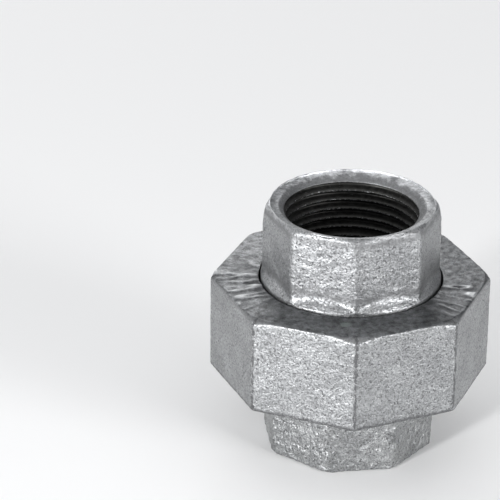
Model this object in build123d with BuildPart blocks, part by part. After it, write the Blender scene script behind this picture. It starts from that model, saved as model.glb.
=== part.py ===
from build123d import *
import os
from math import radians, tan

# Pipe union, 1 in. female to female: a threaded body, a tailpiece and an octagonal union nut.
# The waterway runs along Z, Z = 0 is the body's end face, and every size is in millimetres.

LENGTH = 59.6  # face to face, with the joint made up

# Threads: 55 degree form, right hand
FLANK = tan(radians(27.5))
PIPE_PITCH = 2.309  # Rp 1, inside both ends
PIPE_R = 30.291 / 2
PIPE_DEPTH = 1.40
PIPE_LAND = 0.70
JOINT_PITCH = 2.309  # G 1 3/4, between the body and the nut
JOINT_OUTER_R = 53.746 / 2
JOINT_INNER_R = 50.788 / 2
JOINT_LAND = JOINT_PITCH / 6
JOINT_CLEAR = 0.15
OVERCUT = 0.1
RUN_PAST = 1.0  # how far a plain cut runs past the face it opens

# Octagons: width across flats, and the way each one points once the joint is tight
BARREL_TURN = 22.5
BARREL_FLATS = 37.6
BARREL_DRAFT = 1.0
BARREL_RIM_ROUND = 0.9
TAIL_TURN = -5.4
TAIL_FLATS = 38.1
TAIL_RIM_ROUND = 1.3
NUT_TURN = -6.6
NUT_FLATS = 59.8
NUT_RIM_ROUND = 1.0
CORNER_ROUND = 1.7

# Heights of the body
BARREL_TOP = 19.5
SHOULDER_BASE = 18.5
SOCKET_END = 19.7
RELIEF_BASE = 21.2
RELIEF_TOP = 23.3
SEAT_BASE = 25.8
BODY_TOP = 31.4
BODY_TOP_CHAMFER = 0.9

# Radii of the body
MOUTH_R = 17.3
RECESS_R = 17.0
BARREL_SHOULDER_R = 19.7
RELIEF_R = 24.9

# Tailpiece
SEAT_CLEAR = 0.085
NOSE_TIP = 26.1
TAIL_BORE_R = 15.7
TAIL_COLLAR_R = 24.2
SHOULDER = 37.0
FLARE_R = 20.7
FLARE_TOP = 42.2
FLARE_SLOPE = 1.45
TAIL_SOCKET_BASE = 40.3
TAIL_GROOVE_BASE = 38.3

# Union nut
NUT_BASE = 18.25
NUT_TOP = 41.35
NUT_MOUTH_R = 27.3
NUT_RELIEF_R = 27.2
NUT_RELIEF_BASE = 34.0
LIP_BASE = 37.05
LIP_HOLE_R = 21.15
LIP_CHAMFER = 0.45

# Thread lengths in turns
JOINT_BLANK_TURNS = 8
BODY_GROOVE_TURNS = 6
NUT_GROOVE_TURNS = 8


def thread_groove(crest_r, root_r, pitch, land, start_z, height):
    """A helical cutter that opens at crest_r and narrows to root_r, leaving crests as wide as land."""
    outside = 1 if crest_r > root_r else -1
    mouth = pitch - land
    root = mouth - 2 * abs(crest_r - root_r) * FLANK
    past_r = crest_r + outside * OVERCUT
    past = mouth + 2 * OVERCUT * FLANK
    with BuildPart() as groove:
        with BuildLine() as path:
            Helix(pitch=pitch, height=height, radius=crest_r, center=(0, 0, start_z))
        with BuildSketch(Plane.XZ):
            with BuildLine():
                Polyline(
                    (past_r, start_z - past / 2),
                    (root_r, start_z - root / 2),
                    (root_r, start_z + root / 2),
                    (past_r, start_z + past / 2),
                    close=True,
                )
            make_face()
        sweep(path=path.line, is_frenet=True)
    return groove.part


def pipe_thread(start_z, end_z):
    """The groove of one pipe socket, from below its lower end to above its upper end."""
    root_r = PIPE_R + PIPE_DEPTH
    return thread_groove(PIPE_R, root_r, PIPE_PITCH, PIPE_LAND, start_z, end_z - start_z)


# The nut's groove ends inside its relief, and the body's ridges lie along the middle of it.
nut_groove_end = (NUT_RELIEF_BASE + LIP_BASE) / 2
body_groove_start = nut_groove_end - (BODY_GROOVE_TURNS + 0.5) * JOINT_PITCH

# Threaded body: a round collar with the male thread outside and the seat in its top, over an
# octagonal barrel with a pipe socket. Each thread is cut in a plain wall, and then the wall is
# trimmed to its length, so that the thread runs out cleanly.
with BuildPart() as body:
    with BuildSketch(Plane.XY.offset(body_groove_start - JOINT_PITCH)):
        Circle(JOINT_OUTER_R)
    extrude(amount=JOINT_BLANK_TURNS * JOINT_PITCH)
    add(
        thread_groove(
            JOINT_OUTER_R,
            JOINT_INNER_R,
            JOINT_PITCH,
            JOINT_LAND,
            body_groove_start,
            BODY_GROOVE_TURNS * JOINT_PITCH,
        ),
        mode=Mode.SUBTRACT,
    )
    with BuildSketch(Plane.XZ):
        with BuildLine():
            Polyline(
                (0, SHOULDER_BASE),
                (BARREL_SHOULDER_R, SHOULDER_BASE),
                (RELIEF_R, RELIEF_BASE),
                (RELIEF_R, RELIEF_TOP),
                (JOINT_OUTER_R, RELIEF_TOP + (JOINT_OUTER_R - RELIEF_R) / 2),
                (JOINT_OUTER_R, BODY_TOP - BODY_TOP_CHAMFER),
                (JOINT_OUTER_R - BODY_TOP_CHAMFER, BODY_TOP),
                (0, BODY_TOP),
                close=True,
            )
        make_face()
    revolve(axis=Axis.Z, mode=Mode.INTERSECT)
    with BuildSketch(Plane.XY.offset(BARREL_TOP)):
        RegularPolygon(BARREL_FLATS / 2, 8, major_radius=False, rotation=BARREL_TURN)
        fillet(vertices(), CORNER_ROUND)
    extrude(amount=-BARREL_TOP, taper=BARREL_DRAFT)
    fillet(faces().sort_by(Axis.Z)[0].edges(), BARREL_RIM_ROUND)
    with BuildSketch():
        Circle(PIPE_R)
    extrude(amount=BODY_TOP, mode=Mode.SUBTRACT)
    add(pipe_thread(-PIPE_PITCH, SOCKET_END + PIPE_PITCH), mode=Mode.SUBTRACT)
    with BuildSketch(Plane.XZ):
        with BuildLine():
            Polyline(
                (0, SOCKET_END),
                (RECESS_R, SOCKET_END),
                (RECESS_R, SEAT_BASE),
                (RECESS_R + BODY_TOP + RUN_PAST - SEAT_BASE, BODY_TOP + RUN_PAST),
                (0, BODY_TOP + RUN_PAST),
                close=True,
            )
        make_face()
    revolve(axis=Axis.Z, mode=Mode.SUBTRACT)
    with BuildSketch(Plane.XZ):
        with BuildLine():
            Polyline((0, -RUN_PAST), (MOUTH_R + RUN_PAST, -RUN_PAST), (0, MOUTH_R), close=True)
        make_face()
    revolve(axis=Axis.Z, mode=Mode.SUBTRACT)
body.part.label = "threaded_body"

# Tailpiece: octagonal barrel with a pipe socket over a round collar, whose cone sits in the body
seat_z = SEAT_BASE + SEAT_CLEAR
with BuildPart() as tail:
    with BuildSketch(Plane.XY.offset(FLARE_TOP)):
        RegularPolygon(TAIL_FLATS / 2, 8, major_radius=False, rotation=TAIL_TURN)
        fillet(vertices(), CORNER_ROUND)
    extrude(amount=LENGTH - FLARE_TOP)
    fillet(faces().sort_by(Axis.Z)[-1].edges(), TAIL_RIM_ROUND)
    with BuildSketch(Plane.XZ):
        with BuildLine():
            Polyline(
                (0, NOSE_TIP),
                (RECESS_R + NOSE_TIP - seat_z, NOSE_TIP),
                (TAIL_COLLAR_R, seat_z + TAIL_COLLAR_R - RECESS_R),
                (TAIL_COLLAR_R, SHOULDER),
                (FLARE_R, SHOULDER),
                (FLARE_R, FLARE_TOP),
                (FLARE_R - FLARE_SLOPE, FLARE_TOP + FLARE_SLOPE),
                (0, FLARE_TOP + FLARE_SLOPE),
                close=True,
            )
        make_face()
    revolve(axis=Axis.Z)
    with BuildSketch(Plane.XY.offset(NOSE_TIP)):
        Circle(PIPE_R)
    extrude(amount=LENGTH - NOSE_TIP, mode=Mode.SUBTRACT)
    add(pipe_thread(TAIL_GROOVE_BASE, LENGTH + RUN_PAST), mode=Mode.SUBTRACT)
    with BuildSketch(Plane.XY.offset(NOSE_TIP)):
        Circle(TAIL_BORE_R)
    extrude(amount=TAIL_SOCKET_BASE - NOSE_TIP, mode=Mode.SUBTRACT)
    with BuildSketch(Plane.XZ):
        with BuildLine():
            Polyline(
                (0, LENGTH + RUN_PAST),
                (MOUTH_R + RUN_PAST, LENGTH + RUN_PAST),
                (0, LENGTH - MOUTH_R),
                close=True,
            )
        make_face()
    revolve(axis=Axis.Z, mode=Mode.SUBTRACT)
tail.part.label = "tailpiece"

# Union nut: octagonal ring, threaded inside, with a lip at the top that bears on the tail's collar.
# Its groove is wider than the body's ridge by the clearance on both flanks.
nut_crest_r = JOINT_INNER_R + JOINT_CLEAR
nut_root_r = JOINT_OUTER_R + JOINT_CLEAR
side_clear = JOINT_CLEAR * (1 + FLANK**2) ** 0.5
ridge_width = JOINT_LAND + 2 * (JOINT_OUTER_R - nut_crest_r) * FLANK
nut_land = JOINT_PITCH - ridge_width - 2 * side_clear
with BuildPart() as nut:
    with BuildSketch(Plane.XY.offset(NUT_BASE)):
        RegularPolygon(NUT_FLATS / 2, 8, major_radius=False, rotation=NUT_TURN)
        fillet(vertices(), CORNER_ROUND)
    extrude(amount=NUT_TOP - NUT_BASE)
    fillet(faces().sort_by(Axis.Z)[0].edges(), NUT_RIM_ROUND)
    fillet(faces().sort_by(Axis.Z)[-1].edges(), NUT_RIM_ROUND)
    with BuildSketch(Plane.XY.offset(NUT_BASE)):
        Circle(nut_crest_r)
    extrude(amount=LIP_BASE - NUT_BASE, mode=Mode.SUBTRACT)
    groove_height = NUT_GROOVE_TURNS * JOINT_PITCH
    add(
        thread_groove(
            nut_crest_r,
            nut_root_r,
            JOINT_PITCH,
            nut_land,
            nut_groove_end - groove_height,
            groove_height,
        ),
        mode=Mode.SUBTRACT,
    )
    with BuildSketch(Plane.XY.offset(NUT_RELIEF_BASE)):
        Circle(NUT_RELIEF_R)
    extrude(amount=LIP_BASE - NUT_RELIEF_BASE, mode=Mode.SUBTRACT)
    with BuildSketch(Plane.XZ):
        with BuildLine():
            Polyline(
                (0, NUT_BASE - RUN_PAST),
                (NUT_MOUTH_R + RUN_PAST, NUT_BASE - RUN_PAST),
                (0, NUT_BASE + NUT_MOUTH_R),
                close=True,
            )
        make_face()
    revolve(axis=Axis.Z, mode=Mode.SUBTRACT)
    with BuildSketch(Plane.XY.offset(LIP_BASE)):
        Circle(LIP_HOLE_R)
    extrude(amount=NUT_TOP - LIP_BASE, mode=Mode.SUBTRACT)
    top_arcs = faces().sort_by(Axis.Z)[-1].edges().filter_by(GeomType.CIRCLE)
    chamfer(top_arcs.sort_by(SortBy.RADIUS)[-1], LIP_CHAMFER)
nut.part.label = "union_nut"

os.makedirs("parts", exist_ok=True)
export_step(body.part, "parts/threaded_body.step")
export_step(tail.part, "parts/tailpiece.step")
export_step(nut.part, "parts/union_nut.step")
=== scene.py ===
from math import ceil, cos, pi, radians, sin, tan

import bpy
import numpy as np
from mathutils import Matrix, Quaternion, Vector, noise


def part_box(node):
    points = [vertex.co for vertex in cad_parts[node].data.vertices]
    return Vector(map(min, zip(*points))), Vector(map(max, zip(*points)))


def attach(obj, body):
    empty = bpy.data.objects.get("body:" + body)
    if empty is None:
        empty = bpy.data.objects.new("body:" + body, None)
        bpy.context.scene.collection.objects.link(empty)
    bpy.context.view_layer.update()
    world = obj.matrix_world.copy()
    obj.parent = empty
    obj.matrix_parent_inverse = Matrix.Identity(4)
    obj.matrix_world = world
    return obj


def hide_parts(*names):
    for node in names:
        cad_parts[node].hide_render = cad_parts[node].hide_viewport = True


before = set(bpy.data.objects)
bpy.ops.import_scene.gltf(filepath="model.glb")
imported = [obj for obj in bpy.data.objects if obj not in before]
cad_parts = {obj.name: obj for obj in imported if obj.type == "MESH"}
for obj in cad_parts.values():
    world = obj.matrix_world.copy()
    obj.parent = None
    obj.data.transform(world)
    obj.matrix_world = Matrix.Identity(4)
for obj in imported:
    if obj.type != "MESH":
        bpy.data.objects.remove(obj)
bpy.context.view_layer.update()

# THREADED BODY. A casting in malleable iron, dipped in zinc: an octagonal barrel with a pipe thread in
# its end, under a round collar with the nut's thread outside and a conical seat in its top. The threads
# and the seat were cut after the dip, so they are bare, oily iron.
MM = 0.001
END_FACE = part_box("threaded_body")[0][2] / MM
BODY_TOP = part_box("threaded_body")[1][2] / MM
# A reach is a distance from the axis, on an octagon to its flats. A turn is the angle of a flat.
BODY_TURN, BODY_FLAT, BODY_DRAFT = 0.0, 19.15, tan(radians(1.0))
BODY_SIDE_HEIGHT, BODY_SIDE_DROP = 5.0, 14.0
BODY_END_ROUND, BODY_END_CORNER, BODY_SIDE_CORNER, BODY_TOP_CORNER = 0.7, 3.2, 1.9, 1.7
BODY_POINTS_A_SIDE = 50
UNDERSIDE_BASE, UNDERSIDE_REACH, UNDERSIDE_SLOPE = 18.5, 19.7, 1.926
# The flats' rows run in under the collar up to one height, and the collar's own start just above it
FLATS_END, COLLAR_START = UNDERSIDE_BASE + 0.8, UNDERSIDE_BASE + 1
RELIEF_REACH, RELIEF_BASE, RELIEF_TOP, RELIEF_ROUND = 24.9, 21.2, 23.3, 0.5
RECESS_REACH, SOCKET_TOP, SEAT_BASE = 17.0, 19.7, 25.8
# The mouth of a pipe thread is bevelled down to the zinc that fills the thread's first turns
MOUTH_REACH, MOUTH_SLOPE, MOUTH_DEPTH, MOUTH_ROUND = 17.7, 1.21, 0.5, 0.3
ZINC_FILLS, ZINC_TAPER = 1.7, 0.3
PIPE_PITCH, PIPE_CREST = 2.309, 15.1455
JOINT_PITCH, JOINT_CREST, JOINT_CLEARANCE = 2.309, 26.873, 0.15
JOINT_BEVEL = 0.9
# Height, at angle 0, where a ridge of the body lies in the nut's groove
JOINT_RIDGE = 35.525
# A 55 degree thread in shares of its pitch: the radius of its crests and roots, and its depth
THREAD_ROUND = 0.137329
THREAD_DEPTH = 0.640327
FLANK = radians(27.5)
ROWS_A_TURN, BARE_WITHIN = 12, 0.25
FINE_STEP, CUT_STEP, BEND_STEP = 0.36, 0.9, 0.25
# How far the points of a flat are drawn together towards its corners, from 0 to 1
TOWARDS_CORNERS = 0.6
SWELL_BLEND, SIDE_MARGIN = 0.3, 0.9
# A gap left between one run of rows and the next
GAP = 0.05


def follow_outline(outline, step):
    """Rows along an outline of points (reach, height, fillet, corner). Reach is from the axis to a flat,
    fillet rounds the point off, and corner is the radius of the octagon's corners there. A corner as
    large as the reach makes a circle, which None stands for."""
    outline = [(reach, height, fillet, reach if corner is None else corner)
               for reach, height, fillet, corner in outline]
    along = [outline[0]]
    for before, here, after in zip(outline, outline[1:], outline[2:]):
        point = np.array(here[:2])
        back = np.array(before[:2]) - point
        on = np.array(after[:2]) - point
        back, on = back / np.linalg.norm(back), on / np.linalg.norm(on)
        if here[2] == 0 or abs(back @ on + 1) < 1e-6:
            along.append(here)
            continue
        half = np.arccos(np.clip(back @ on, -1, 1)) / 2
        inward = (back + on) / np.linalg.norm(back + on)
        centre = point + inward * here[2] / sin(half)
        across = np.array([-inward[1], inward[0]])
        across = across if across @ on > 0 else -across
        bends = max(3, ceil(here[2] * (pi - 2 * half) / BEND_STEP))
        for turned in np.linspace(half - pi / 2, pi / 2 - half, bends + 1):
            spoke = -inward * cos(turned) + across * sin(turned)
            along.append((*(centre + spoke * here[2]), 0, here[3]))
    along.append(outline[-1])
    rows = [along[0]]
    for here in along[1:]:
        start, end = np.array(rows[-1]), np.array(here)
        pieces = max(1, round(float(np.hypot(*(end - start)[:2])) / step))
        rows += [tuple(start + (end - start) * piece / pieces) for piece in range(1, pieces + 1)]
    return rows


def octagon(angles, turn, flat, corner):
    """Distance from the axis to an octagon with its flats at reach flat, one of them at angle turn."""
    from_flat = (angles - turn + pi / 8) % (pi / 4) - pi / 8
    from_corner = pi / 8 - np.abs(from_flat)
    rest = flat - corner
    hub = rest / cos(pi / 8)
    arc = hub * np.cos(from_corner) + np.sqrt(np.maximum(corner**2 - (hub * np.sin(from_corner)) ** 2, 0))
    on_flat = np.abs(from_flat) < np.arctan2(rest * tan(pi / 8), flat)
    return np.where(on_flat, flat / np.cos(from_flat), arc)


def thread_depth(turns):
    """Depth of a 55 degree thread below its crest, in pitches, at a height counted in turns."""
    from_crest = np.abs((turns + 0.5) % 1 - 0.5)
    from_root = 0.5 - from_crest
    flank_start = THREAD_ROUND * cos(FLANK)
    crest = THREAD_ROUND - np.sqrt(np.maximum(THREAD_ROUND**2 - from_crest**2, 0))
    root = THREAD_DEPTH - THREAD_ROUND + np.sqrt(np.maximum(THREAD_ROUND**2 - from_root**2, 0))
    flank = THREAD_ROUND * (1 - sin(FLANK)) + (from_crest - flank_start) / tan(FLANK)
    return np.where(from_crest < flank_start, crest, np.where(from_root < flank_start, root, flank))


def soften(first, second, softness, sign):
    """The larger of two (sign 1) or the smaller (sign -1), run together over the given softness."""
    return (first + second + sign * np.sqrt((first - second) ** 2 + softness**2)) / 2


# Stands for the distance to a corner where there is none
NO_CORNER = 9.0


class Casting:
    """The skin of one casting: rows of points round the axis, one after another round its section."""

    def __init__(self, turn, flat, points_a_side):
        self.turn, self.flat = turn, flat
        even = np.arange(points_a_side) / points_a_side * 2 - 1
        drawn = np.sin(even * pi / 2)
        side = pi / 8 * ((1 - TOWARDS_CORNERS) * even + TOWARDS_CORNERS * drawn)
        self.angles = np.concatenate([turn + side_number * pi / 4 + side for side_number in range(8)])
        from_flat = (self.angles - turn + pi / 8) % (pi / 4) - pi / 8
        self.from_corner = pi / 8 - np.abs(from_flat)
        self.rows = []

    def row(self, radius, height, bare, cast, cornered):
        """bare is 1 on cut iron, cast is how uneven the casting is, and cornered is 1 on an octagon's
        side, where the distance to the nearest corner is kept for the shade painted along the corners."""
        every = np.ones_like(self.angles)
        to_corner = np.where(cornered * every > 0.5, self.from_corner * radius, NO_CORNER)
        self.rows.append([radius * every, height * every, bare * every, cast * every, to_corner])

    def wall(self, outline, step=FINE_STEP, bare=0.0, cast=1.0, swell=None, turned=None, blend=0.35):
        """Rows along an outline. swell and turned give the radius, at a height, of a round shape that
        the wall runs out into, and of a lathe's cut that it stays inside, with an edge as soft as blend.
        The last value of a row says whether it is an octagon's side, along whose corners shade is painted."""
        for reach, height, _, corner in follow_outline(outline, step):
            radius = octagon(self.angles, self.turn, reach, min(corner, reach - 1e-6))
            if swell is not None:
                radius = soften(radius, swell(height), SWELL_BLEND, 1)
            if turned is not None:
                radius = soften(radius, turned(height), blend, -1)
            on_side = corner < reach - 1 and reach > self.flat - SIDE_MARGIN
            self.row(radius, height, bare, cast, on_side)

    def thread(self, start, end, pitch, crest, ridge, inside, plain, filled=None):
        """A thread from start to end, cut off where plain, the bare wall's radius at a height, ends it.
        Zinc fills it within the first millimetres from the mouth that filled gives the height of."""
        for height in np.linspace(start, end, ceil(abs(end - start) / pitch * ROWS_A_TURN) + 1):
            depth = thread_depth((height - ridge) / pitch - self.angles / (2 * pi)) * pitch
            if filled is not None:
                depth = depth * np.clip((abs(height - filled) - ZINC_FILLS) / ZINC_TAPER, 0, 1)
            sign = 1 if inside else -1
            cut = crest + sign * depth
            wall = plain(height)
            radius = np.maximum(cut, wall) if inside else np.minimum(cut, wall)
            bare = np.clip(sign * (cut - wall) / BARE_WITHIN + 0.5, 0, 1)
            self.row(radius, height, bare, 0.0, 0)

    def build(self, name, unevenness):
        """Close the rows into a mesh. unevenness gives how far each point stands out, in millimetres, and
        how far of that is a ridge of zinc."""
        radii, heights, bare, cast, to_corner = np.array(self.rows).transpose(1, 0, 2)
        points = np.stack([radii * np.cos(self.angles), radii * np.sin(self.angles), heights], -1)
        up = np.roll(points, -1, 0) - np.roll(points, 1, 0)
        around = np.roll(points, -1, 1) - np.roll(points, 1, 1)
        normals = np.cross(around, up)
        normals /= np.maximum(np.linalg.norm(normals, axis=-1, keepdims=True), 1e-9)
        stands_out, raised = unevenness(points, normals)
        points = points + normals * (stands_out * cast)[..., None]
        index = np.arange(radii.size).reshape(radii.shape)
        beside, above = np.roll(index, -1, 1), np.roll(index, -1, 0)
        faces = np.stack([index, beside, np.roll(beside, -1, 0), above], -1)
        mesh = bpy.data.meshes.new(name)
        mesh.from_pydata((points.reshape(-1, 3) * MM).tolist(), [], faces.reshape(-1, 4).tolist())
        mesh.polygons.foreach_set("use_smooth", np.ones(radii.size, bool))
        for label, values in (("bare", bare), ("to_corner", to_corner), ("raised", raised + 0 * bare)):
            layer = mesh.attributes.new(label, "FLOAT", "POINT")
            layer.data.foreach_set("value", values.astype(np.float32).ravel())
        mesh.update()
        piece = bpy.data.objects.new(name, mesh)
        bpy.context.collection.objects.link(piece)
        return piece


def lumps(points, size, seed):
    """Smooth heights from about -1 to 1 that repeat nowhere, with lumps about as wide as size."""
    spots = points.reshape(-1, 3) / np.array(size) + seed
    return np.array([noise.noise(Vector(spot)) for spot in spots]).reshape(points.shape[:-1])


WAVE_WIDTH, SAND_WIDTH, FINE_SAND_WIDTH = 11.0, 1.7, 1.1


def sand_cast(points, seed, wave, grain):
    """How a sand casting under zinc is uneven: slow waves, grains of sand, and runs of thicker zinc.
    It only ever goes down from the true size."""
    height = wave * lumps(points, WAVE_WIDTH, seed)
    height += grain * lumps(points, SAND_WIDTH, seed + 9)
    height += grain * 0.8 * lumps(points, FINE_SAND_WIDTH, seed + 21)
    return np.minimum(height - 0.4 * (wave + grain), 0)


# Colours, as linear red, green and blue
SPECK_DARK = (0.10, 0.10, 0.104, 1)
IRON_DARK, IRON_LIGHT = (0.048, 0.048, 0.046, 1), (0.0912, 0.0912, 0.0874, 1)
SHINIEST, DULLEST = 0.36, 0.50


class Finish:
    """A surface finish, built up from nodes."""

    def __init__(self, name):
        self.material = bpy.data.materials.new(name)
        self.material.use_nodes = True
        self.nodes = self.material.node_tree.nodes
        self.surface = self.nodes["Principled BSDF"]
        self.place = self.node("ShaderNodeTexCoord").outputs["Object"]
        self.across, self.along, self.height = self.node("ShaderNodeSeparateXYZ", {0: self.place}).outputs

    def put(self, socket, value):
        if isinstance(value, bpy.types.NodeSocket):
            self.material.node_tree.links.new(value, socket)
        else:
            socket.default_value = value

    def node(self, kind, inputs=(), **settings):
        made = self.nodes.new(kind)
        for key, value in settings.items():
            setattr(made, key, value)
        for socket, value in dict(inputs).items():
            self.put(made.inputs[socket], value)
        return made

    def grain(self, size, detail=2.0, roughness=0.55, stretch=(1, 1, 1), shift=0.0):
        """Noise from 0 to 1, with grains about size millimetres wide, longer along an axis by stretch."""
        scale = tuple(1 / (size * MM * each) for each in stretch)
        moved = {"Vector": self.place, "Scale": scale, "Location": (shift,) * 3}
        place = self.node("ShaderNodeMapping", moved)
        inputs = {"Vector": place.outputs[0], "Scale": 1.0, "Detail": detail, "Roughness": roughness}
        return self.node("ShaderNodeTexNoise", inputs).outputs["Fac"]

    def spread(self, value, low, high, out_low=0.0, out_high=1.0):
        inputs = {"Value": value, "From Min": low, "From Max": high, "To Min": out_low, "To Max": out_high}
        return self.node("ShaderNodeMapRange", inputs, clamp=True).outputs["Result"]

    def sum(self, operation, *values):
        return self.node("ShaderNodeMath", dict(enumerate(values)), operation=operation).outputs[0]

    def layer(self, share, under, over, blend="MIX"):
        """One colour over another, by a share from 0 to 1."""
        inputs = {0: share, 6: under, 7: over}
        return self.node("ShaderNodeMix", inputs, data_type="RGBA", blend_type=blend).outputs[2]

    def toned(self, colour, tone):
        """A colour made lighter or darker by a number."""
        grey = self.node("ShaderNodeCombineColor", {0: tone, 1: tone, 2: tone}).outputs[0]
        return self.layer(1.0, colour, grey, "MULTIPLY")

    def paint(self, share, over):
        """Put a colour over the finish so far."""
        self.colour = self.layer(share, self.colour, over)

    def level(self, wander):
        """The height, made to wander by a number of millimetres."""
        return self.sum("ADD", self.height, self.sum("MULTIPLY", wander, MM))

    def near(self, value, middle, reach):
        """1 where a value lies at middle, fading to 0 at reach from it."""
        return self.spread(self.sum("ABSOLUTE", self.sum("SUBTRACT", value, middle)), 0, reach, 1, 0)

    def attribute(self, name):
        return self.node("ShaderNodeAttribute", attribute_name=name).outputs["Fac"]

    def zinc(self, light, dark, sparkle=0.5, specks=0.5):
        """Dull hot-dip zinc: cloudy, with fine bright grains and dark specks. Sets colour, gloss, height."""
        self.cloud = self.grain(7.0, 3.0)
        self.crust = self.grain(1.1, 3.0, 0.6)
        self.dust = self.grain(0.42, 2.0, 0.6)
        speck = self.spread(self.grain(0.55, 3.0, 0.7, shift=7.0), 0.55, 0.63)
        colour = self.layer(self.spread(self.cloud, 0.35, 0.65), dark, light)
        tone = self.spread(self.dust, 0.3, 0.7, 1 - sparkle * 0.5, 1 + sparkle * 0.25)
        self.colour = self.toned(colour, tone)
        self.paint(self.sum("MULTIPLY", speck, specks), SPECK_DARK)
        self.gloss = self.spread(self.crust, 0.3, 0.7, SHINIEST, DULLEST)
        bumps = self.sum("ADD", self.sum("MULTIPLY", self.dust, 0.6), self.sum("MULTIPLY", self.crust, 0.8))
        self.relief = self.sum("SUBTRACT", bumps, self.sum("MULTIPLY", speck, 0.25))

    def cut_iron(self):
        """Bare iron where the piece was cut, dark and oily, with the zinc ragged at its edge."""
        nicks = self.spread(self.grain(0.6, 3.0, 0.7), 0.3, 0.7, -0.45, 0.45)
        bare = self.spread(self.sum("ADD", self.attribute("bare"), nicks), 0.45, 0.62)
        self.paint(bare, self.layer(self.spread(self.crust, 0.3, 0.7), IRON_DARK, IRON_LIGHT))
        self.gloss = self.sum("MULTIPLY_ADD", bare, 0.08, self.gloss)
        self.relief = self.sum("MULTIPLY", self.relief, self.spread(bare, 0, 1, 1, 0.06))

    def close(self, depth):
        """Join everything to the surface. depth is how deep the fine grain goes, in millimetres."""
        self.put(self.surface.inputs["Base Color"], self.colour)
        self.put(self.surface.inputs["Roughness"], self.gloss)
        self.surface.inputs["Metallic"].default_value = 1.0
        bump = self.node("ShaderNodeBump", {"Height": self.relief, "Distance": depth * MM, "Strength": 1.0})
        self.put(self.surface.inputs["Normal"], bump.outputs["Normal"])
        return self.material


def underside(height):
    """The cone that carries the flats out into the round collar."""
    return UNDERSIDE_REACH + (height - UNDERSIDE_BASE) * UNDERSIDE_SLOPE


def collar_blank(height):
    """The collar before its thread is cut, with a run-out below and a bevel above."""
    run_out = RELIEF_REACH + 2 * (height - RELIEF_TOP)
    bevel = JOINT_CREST - JOINT_BEVEL + BODY_TOP - height
    return min(run_out, JOINT_CREST, bevel)


def body_mouth(height):
    """The pipe thread's blank, with its bevelled mouth."""
    return max(PIPE_CREST, MOUTH_REACH - MOUTH_SLOPE * (height - END_FACE))


body = Casting(BODY_TURN, BODY_FLAT, BODY_POINTS_A_SIDE)
body.wall(
    [
        (MOUTH_REACH - MOUTH_DEPTH * MOUTH_SLOPE, END_FACE + MOUTH_DEPTH, 0, None),
        (MOUTH_REACH, END_FACE, MOUTH_ROUND, None),
        (BODY_FLAT - SOCKET_TOP * BODY_DRAFT, END_FACE, BODY_END_ROUND, BODY_END_CORNER),
        (BODY_FLAT - BODY_SIDE_DROP * BODY_DRAFT, END_FACE + BODY_SIDE_HEIGHT, 0, BODY_SIDE_CORNER),
        (BODY_FLAT, FLATS_END, 0, BODY_TOP_CORNER),
    ],
    swell=underside,
)
body.wall(
    [
        (underside(COLLAR_START), COLLAR_START, 0, None),
        (RELIEF_REACH, RELIEF_BASE, RELIEF_ROUND, None),
        (RELIEF_REACH, RELIEF_TOP, 0, None),
    ],
    cast=0.5,
)
body.thread(
    start=RELIEF_TOP + GAP,
    end=BODY_TOP - GAP,
    pitch=JOINT_PITCH,
    crest=JOINT_CREST,
    ridge=JOINT_RIDGE,
    inside=False,
    plain=collar_blank,
)
body.wall(
    [
        (JOINT_CREST - JOINT_PITCH * THREAD_DEPTH - GAP, BODY_TOP, 0, None),
        (RECESS_REACH + BODY_TOP - SEAT_BASE, BODY_TOP, 0, None),
        (RECESS_REACH, SEAT_BASE, 0, None),
        (RECESS_REACH, SOCKET_TOP, 0, None),
        (PIPE_CREST, SOCKET_TOP, 0, None),
    ],
    bare=1.0,
    cast=0.0,
    step=CUT_STEP,
)
body.thread(
    start=SOCKET_TOP - GAP,
    end=END_FACE + MOUTH_DEPTH + 2 * GAP,
    pitch=PIPE_PITCH,
    crest=PIPE_CREST,
    ridge=PIPE_PITCH / 2,
    inside=True,
    plain=body_mouth,
    filled=END_FACE,
)


def body_skin(points, normals):
    return sand_cast(points, seed=3.1, wave=0.10, grain=0.17), 0


threaded_body = body.build("cast_body", body_skin)
BODY_ZINC_LIGHT, BODY_ZINC_DARK = (0.46, 0.468, 0.472, 1), (0.33, 0.338, 0.342, 1)
finish = Finish("body_zinc")
finish.zinc(BODY_ZINC_LIGHT, BODY_ZINC_DARK, sparkle=0.9, specks=0.85)
# The zinc ran down the barrel as it drained, which leaves it streaked upright
runs = finish.grain(1.0, 3.0, 0.6, stretch=(1, 1, 2.4), shift=3.0)
finish.relief = finish.sum("ADD", finish.relief, finish.sum("MULTIPLY", runs, 1.6))
finish.cut_iron()
threaded_body.data.materials.append(finish.close(depth=0.24))
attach(threaded_body, "body")
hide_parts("threaded_body")

# TAILPIECE. The second zinc-dipped casting: an octagonal barrel with a pipe thread in its end, which
# flares to a round foot in the nut's hole. The nut's lip pulls on a collar below that, and the cone
# under the collar is turned to seal on the body's seat. The bore through it is left as cast.
TAIL_TURN = radians(22.5 - 5.4)
NOSE_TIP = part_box("tailpiece")[0][2] / MM
TAIL_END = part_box("tailpiece")[1][2] / MM
TAIL_FLAT, TAIL_POINTS_A_SIDE = 19.05, 50
TAIL_BORE, NOSE_REACH = 15.7, 17.215
COLLAR_REACH, COLLAR_BASE, SHOULDER = 24.2, 33.085, 37.0
COLLAR_BASE_ROUND, COLLAR_TOP_ROUND = 0.2, 0.3
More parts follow.
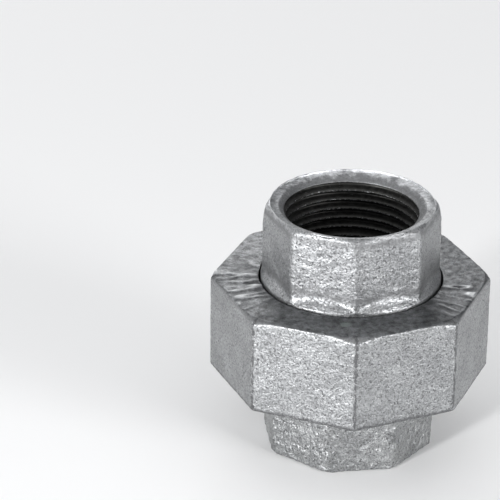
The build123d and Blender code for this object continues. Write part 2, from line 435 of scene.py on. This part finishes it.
# The foot's neck is bare up to where the zinc ran in, 2 mm below the foot's top
FOOT_REACH, FOOT_TOP, NECK_BARE = 20.7, 42.1, 2.0
FLARE_HEIGHT, FLARE_START, FLARE_HOLLOW = 3.4, 18.95, 2.2
TAIL_FOOT_CORNER, TAIL_SIDE_CORNER = 1.8, 1.9
RIM_HEIGHT, RIM_ROUND, RIM_CORNER, TAIL_MOUTH_ROUND = 4.0, 1.0, 5.5, 0.25
TURNED_REACH, TURNED_SLOPE, TURNED_BLEND = 20.0, 1.1, 1.2
TAIL_SOCKET_BASE, TAIL_RIDGE = 40.3, 39.05


def flare(height):
    """The round foot, and the hollow curve that carries it up into the flats."""
    left = 1 - max(height - FOOT_TOP, 0) / FLARE_HEIGHT
    return FLARE_START + (FOOT_REACH - FLARE_START) * max(left, 0) ** FLARE_HOLLOW


def rim_cut(height):
    """The cone that a lathe cut round the barrel's end."""
    return TURNED_REACH + (TAIL_END - height) * TURNED_SLOPE


def tail_mouth(height):
    """The pipe thread's blank, with its bevelled mouth."""
    return max(PIPE_CREST, MOUTH_REACH - MOUTH_SLOPE * (TAIL_END - height))


tail = Casting(TAIL_TURN, TAIL_FLAT, TAIL_POINTS_A_SIDE)
tail.wall(
    [
        (TAIL_BORE, NOSE_TIP, 0, None),
        (NOSE_REACH, NOSE_TIP, 0, None),
        (COLLAR_REACH, COLLAR_BASE, COLLAR_BASE_ROUND, None),
        (COLLAR_REACH, SHOULDER, COLLAR_TOP_ROUND, None),
        (FOOT_REACH, SHOULDER, 0, None),
        (FOOT_REACH, FOOT_TOP - NECK_BARE, 0, None),
    ],
    bare=1.0,
    cast=0.0,
    step=CUT_STEP,
)
tail.wall(
    [
        (FOOT_REACH, FOOT_TOP - NECK_BARE + 2 * GAP, 0, None),
        (FOOT_REACH, FOOT_TOP - 6 * GAP, 0, None),
    ],
    cast=0.0,
)
tail.wall(
    [
        (TAIL_FLAT, FOOT_TOP - 4 * GAP, 0, TAIL_FOOT_CORNER),
        (TAIL_FLAT, TAIL_END - RIM_HEIGHT, 0, TAIL_SIDE_CORNER),
        (TAIL_FLAT, TAIL_END, RIM_ROUND, RIM_CORNER),
        (MOUTH_REACH, TAIL_END, TAIL_MOUTH_ROUND, None),
        (MOUTH_REACH - MOUTH_DEPTH * MOUTH_SLOPE, TAIL_END - MOUTH_DEPTH, 0, None),
    ],
    swell=flare,
    turned=rim_cut,
    blend=TURNED_BLEND,
)
tail.thread(
    start=TAIL_END - MOUTH_DEPTH - 2 * GAP,
    end=TAIL_SOCKET_BASE,
    pitch=PIPE_PITCH,
    crest=PIPE_CREST,
    ridge=TAIL_RIDGE,
    inside=True,
    plain=tail_mouth,
    filled=TAIL_END,
)
tail.wall(
    [
        (TAIL_BORE, TAIL_SOCKET_BASE - 2 * GAP, 0, None),
        (TAIL_BORE, NOSE_TIP + 8 * GAP, 0, None),
    ],
    cast=1.2,
    step=0.5,
)


def tail_skin(points, normals):
    return sand_cast(points, seed=17.7, wave=0.08, grain=0.08), 0


tailpiece = tail.build("cast_tailpiece", tail_skin)
TAIL_ZINC_LIGHT, TAIL_ZINC_DARK = (0.415, 0.422, 0.43, 1), (0.33, 0.337, 0.344, 1)
PAINTED_SHADE_ZINC, PAINTED_HIGHLIGHT_ZINC = (0.20, 0.203, 0.207, 1), (0.86, 0.87, 0.89, 1)
finish = Finish("tail_zinc")
finish.zinc(TAIL_ZINC_LIGHT, TAIL_ZINC_DARK, sparkle=0.8, specks=0.75)
wander = finish.spread(finish.grain(2.0, 3.0, 0.65, shift=5.0), 0.3, 0.7, -0.5, 0.5)
level = finish.level(wander)
# Shade is painted just below the rim and in the hollow above the foot, where the zinc is also made rougher
below_rim = finish.near(level, (TAIL_END - 1.5) * MM, 1.3 * MM)
hollow = finish.near(level, (FOOT_TOP + 2.6) * MM, 1.6 * MM)
painted_shade = finish.sum("MULTIPLY", finish.sum("MAXIMUM", below_rim, hollow), 0.85)
finish.paint(painted_shade, PAINTED_SHADE_ZINC)
# A highlight is painted in bright patches on the end face, most of it towards the back
at_end = finish.spread(level, (TAIL_END - 0.9) * MM, (TAIL_END - 0.2) * MM)
patches = finish.spread(finish.grain(0.9, 3.0, 0.65, shift=6.0), 0.38, 0.6, 0.6, 1.0)
to_back = finish.spread(finish.along, -12 * MM, 10 * MM)
painted_highlight = finish.sum("MULTIPLY", finish.sum("MULTIPLY", at_end, patches), to_back)
finish.paint(painted_highlight, PAINTED_HIGHLIGHT_ZINC)
finish.gloss = finish.sum("MULTIPLY_ADD", painted_shade, 0.15, finish.gloss)
finish.cut_iron()
tailpiece.data.materials.append(finish.close(depth=0.17))
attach(tailpiece, "tail")
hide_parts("tailpiece")

# UNION NUT. The third zinc-dipped casting: a large octagonal ring with a thread in its open end, and a
# lip at the other end whose hole is just wider than the tailpiece's foot. Zinc has run into ridges on
# two sides of its top, and shade is painted dark along its long edges.
NUT_TURN = radians(22.5 - 6.6)
NUT_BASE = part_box("union_nut")[0][2] / MM
NUT_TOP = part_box("union_nut")[1][2] / MM
NUT_FLAT, NUT_POINTS_A_SIDE = 29.9, 60
NUT_EDGE_ROUND, NUT_BASE_CORNER, NUT_TOP_CORNER = 0.5, 1.9, 1.7
NUT_CREST = JOINT_CREST - JOINT_PITCH * THREAD_DEPTH + JOINT_CLEARANCE
NUT_MOUTH, NUT_MOUTH_BEVEL = 27.3, 0.2
NUT_RELIEF, NUT_RELIEF_BASE, NUT_RELIEF_ROUND = 27.2, 34.0, 0.3
LIP_BASE, LIP_HOLE, LIP_EDGE, LIP_ROUND = 37.05, 21.15, 0.5, 0.25
# The lathe's cut at the top, and how far off centre it was made
CUT_REACH, CUT_OFF_CENTRE, CUT_SLOPE, CUT_BLEND = 31.0, 0.7, 1.8, 0.5
# Where the ridges of zinc are, as a middle and a half width round the axis, and their height
RIDGES = ((radians(-175), radians(30)), (radians(-33), radians(20)))
RIDGE_HEIGHT, RIDGES_A_RADIAN, RIDGE_WIDTH, RIDGE_EDGE = 0.42, 24.0, 1.9, 0.15
PITTED, PIT_WIDTH = 0.10, 1.8


def nut_skin(points, normals):
    """The casting's waves, the pitted top, and the ridges of zinc that lie across the top."""
    height = sand_cast(points, seed=31.3, wave=0.09, grain=0.05)
    top = np.clip(normals[..., 2] * 3 - 2, 0, 1)
    height = height + top * PITTED * (lumps(points, PIT_WIDTH, 51.0) - 0.3)
    angles = np.arctan2(points[..., 1], points[..., 0])
    reach = np.hypot(points[..., 0], points[..., 1])
    bent = reach * 0.25 + lumps(points, 4.0, 2.0)
    streaks = np.stack([angles * RIDGES_A_RADIAN, bent, 0 * reach], -1)
    ridged = np.clip(1 - np.abs(lumps(streaks, RIDGE_WIDTH, 5.5)) * 4.5, -0.5, 1)
    raised = 0 * height
    for middle, spread in RIDGES:
        off = np.abs((angles - middle + pi) % (2 * pi) - pi)
        raised = raised + np.clip((spread - off) / RIDGE_EDGE, 0, 1) * top * ridged
    raised = raised * (0.7 + lumps(points, 3.5, 8.0))
    return height + RIDGE_HEIGHT * raised, raised


def top_cut(height):
    """The cone that a lathe cut round the top, not quite on the nut's own axis."""
    return CUT_REACH + CUT_OFF_CENTRE * np.sin(nut.angles) + (NUT_TOP - height) * CUT_SLOPE


def nut_blank(height):
    """The nut's thread before it is cut, with its bevelled mouth."""
    return max(NUT_CREST, NUT_MOUTH - (height - NUT_BASE))


nut = Casting(NUT_TURN, NUT_FLAT, NUT_POINTS_A_SIDE)
nut.wall(
    [
        (NUT_MOUTH - NUT_MOUTH_BEVEL, NUT_BASE + NUT_MOUTH_BEVEL, 0, None),
        (NUT_MOUTH, NUT_BASE, 0.2, None),
        (NUT_FLAT, NUT_BASE, NUT_EDGE_ROUND, NUT_BASE_CORNER),
        (NUT_FLAT, NUT_TOP, NUT_EDGE_ROUND, NUT_TOP_CORNER),
        (LIP_HOLE, NUT_TOP, LIP_ROUND, None),
        (LIP_HOLE, NUT_TOP - LIP_EDGE, 0, None),
    ],
    turned=top_cut,
    blend=CUT_BLEND,
)
nut.wall(
    [
        (LIP_HOLE, NUT_TOP - LIP_EDGE - 2 * GAP, 0, None),
        (LIP_HOLE, LIP_BASE, 0, None),
        (NUT_RELIEF, LIP_BASE, NUT_RELIEF_ROUND, None),
        (NUT_RELIEF, NUT_RELIEF_BASE, 0, None),
    ],
    bare=1.0,
    cast=0.0,
    step=CUT_STEP,
)
nut.thread(
    start=NUT_RELIEF_BASE - GAP,
    end=NUT_BASE + NUT_MOUTH_BEVEL + GAP,
    pitch=JOINT_PITCH,
    crest=NUT_CREST,
    ridge=JOINT_RIDGE + JOINT_PITCH / 2,
    inside=True,
    plain=nut_blank,
)
union_nut = nut.build("cast_nut", nut_skin)
NUT_ZINC_LIGHT, NUT_ZINC_DARK = (0.405, 0.413, 0.42, 1), (0.33, 0.337, 0.343, 1)
PAINTED_TOP_SHADE, PAINTED_EDGE_SHADE = (0.10, 0.105, 0.11, 1), (0.09, 0.09, 0.094, 1)
RIDGE_HIGHLIGHT, VALLEY_SHADE = (0.66, 0.67, 0.68, 1), (0.13, 0.135, 0.14, 1)
finish = Finish("nut_zinc")
finish.zinc(NUT_ZINC_LIGHT, NUT_ZINC_DARK, sparkle=0.8, specks=0.75)
wander = finish.spread(finish.grain(1.6, 3.0, 0.7, shift=4.0), 0.3, 0.7, -0.35, 0.35)
level = finish.level(wander)
# Shade is painted dark in a broken line along the upright corners, and along the edge at the open end
patchy = finish.spread(finish.grain(1.1, 2.0, 0.6, shift=2.0), 0.35, 0.6, 0.18, 0.5)
off_corner = finish.sum("ABSOLUTE", finish.sum("ADD", finish.attribute("to_corner"), wander))
edge = finish.spread(finish.sum("DIVIDE", off_corner, patchy), 0.3, 1.1, 1.0, 0.0)
hem = finish.near(level, (NUT_BASE + 0.5) * MM, 0.6 * MM)
edge_shade = finish.sum("MULTIPLY", finish.sum("MAXIMUM", edge, hem), 0.7)
# The top is painted darker as shade, most of all on its front and right
on_top = finish.spread(finish.height, (NUT_TOP - 0.5) * MM, (NUT_TOP - 0.2) * MM)
to_right = finish.spread(finish.across, 10 * MM, 24 * MM, 0.0, 0.9)
to_front = finish.spread(finish.along, -14 * MM, -21 * MM, 0.0, 0.7)
top_shade = finish.sum("ADD", finish.sum("ADD", to_front, to_right), wander)
finish.paint(finish.sum("MULTIPLY", on_top, finish.spread(top_shade, 0.2, 1.0, 0.42, 0.85)), PAINTED_TOP_SHADE)
blotch = finish.spread(finish.grain(1.6, 4.0, 0.65, shift=9.0), 0.36, 0.64, 0.35, 1.65)
finish.paint(finish.sum("MULTIPLY", on_top, 0.9), finish.toned(finish.colour, blotch))
# The ridges' crests are painted light as highlight, and the valleys between them dark as shade
raised = finish.attribute("raised")
finish.paint(finish.spread(raised, 0.1, 0.6, 0.0, 0.85), RIDGE_HIGHLIGHT)
finish.paint(finish.spread(raised, -0.05, -0.35, 0.0, 0.6), VALLEY_SHADE)
# One drop of clean, greenish zinc lies on the front of the top
DRIP_PLACE, DRIP_COLOUR = (-5.0 * MM, -24.1 * MM, NUT_TOP * MM), (0.36, 0.43, 0.39, 1)
apart = finish.node("ShaderNodeVectorMath", {0: finish.place, 1: DRIP_PLACE}, operation="DISTANCE")
from_drip = finish.sum("ADD", apart.outputs["Value"], finish.sum("MULTIPLY", wander, MM))
finish.paint(finish.sum("MULTIPLY", finish.spread(from_drip, 1.3 * MM, 0.8 * MM), 0.7), DRIP_COLOUR)
# The rounded top edge is painted darker as shade
rim = finish.near(level, (NUT_TOP - 0.5) * MM, 0.7 * MM)
finish.paint(finish.sum("MULTIPLY", rim, 0.6), PAINTED_SHADE_ZINC)
finish.paint(edge_shade, PAINTED_EDGE_SHADE)
finish.relief = finish.sum("SUBTRACT", finish.relief, finish.sum("MULTIPLY", edge_shade, 0.5))
finish.cut_iron()
union_nut.data.materials.append(finish.close(depth=0.17))
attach(union_nut, "nut")
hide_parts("union_nut")

# FLOOR. A plain, pale, matt table top, much larger than the fitting, which stands on the end face of
# its body.
FLOOR_SIDE, FLOOR_COLOUR = 6, (0.90, 0.90, 0.90, 1)
bpy.ops.mesh.primitive_plane_add(size=FLOOR_SIDE)
floor = bpy.context.object
floor.name = "floor"
finish = Finish("pale_floor")
finish.surface.inputs["Base Color"].default_value = FLOOR_COLOUR
finish.surface.inputs["Roughness"].default_value = 0.9
finish.surface.inputs["Specular IOR Level"].default_value = 0.1
floor.data.materials.append(finish.material)

# CAMERA. It looks down on the fitting from a little to its left through a long lens, and aims past its
# left side.
CAMERA_AZIMUTH, CAMERA_ELEVATION, CAMERA_ROLL = radians(-9.743), radians(26.238), radians(0.549)
CAMERA_DISTANCE, CAMERA_LENS, CAMERA_NEAREST = 0.64307, 201.81, 0.01
AIM_HEIGHT, AIM_RIGHT, AIM_UP = 0.042936, -0.023258, 0.003677
back = Vector(
    (
        sin(CAMERA_AZIMUTH) * cos(CAMERA_ELEVATION),
        -cos(CAMERA_AZIMUTH) * cos(CAMERA_ELEVATION),
        sin(CAMERA_ELEVATION),
    )
)
sideways = Vector((cos(CAMERA_AZIMUTH), sin(CAMERA_AZIMUTH), 0))
centre = Vector((0, 0, AIM_HEIGHT))
camera = bpy.data.objects.new("camera", bpy.data.cameras.new("camera"))
camera.data.lens = CAMERA_LENS
camera.data.clip_start = CAMERA_NEAREST
bpy.context.collection.objects.link(camera)
camera.location = centre + back * CAMERA_DISTANCE
aim = centre + sideways * AIM_RIGHT + back.cross(sideways) * AIM_UP
camera.rotation_mode = "QUATERNION"
facing = (aim - camera.location).to_track_quat("-Z", "Y")
camera.rotation_quaternion = facing @ Quaternion((0, 0, 1), CAMERA_ROLL)
bpy.context.scene.camera = camera

# LIGHT. Plain soft round lamps about the fitting, each with its place, width and power. The strongest
# are a wide one overhead and a small one low at the front left, and the room itself gives a dim grey.
LAMPS_AIM, ROOM_GREY = Vector((0, 0, 0.03)), (0.245, 0.25, 0.26, 1)
LIGHTS = {
    "overhead": ((-0.15, -0.10, 1.4), 3.0, 12.0),
    "low_left": ((-0.60, -0.52, 0.16), 0.10, 7.2),
    "low_right": ((0.62, -0.62, 0.22), 0.35, 5.8),
    "far_left": ((-0.75, 0.45, 0.35), 0.40, 1.0),
    "back": ((0.05, 1.0, 0.50), 0.60, 2.4),
}
for name, (place, width, power) in LIGHTS.items():
    lamp = bpy.data.lights.new(name, "AREA")
    lamp.shape, lamp.size, lamp.energy = "DISK", width, power
    holder = bpy.data.objects.new(name, lamp)
    bpy.context.collection.objects.link(holder)
    holder.location = place
    holder.rotation_mode = "QUATERNION"
    holder.rotation_quaternion = (LAMPS_AIM - Vector(place)).to_track_quat("-Z", "Y")
world = bpy.data.worlds.new("studio")
world.use_nodes = True
world.node_tree.nodes["Background"].inputs["Color"].default_value = ROOM_GREY
bpy.context.scene.world = world
bpy.context.scene.view_settings.view_transform = "Standard"
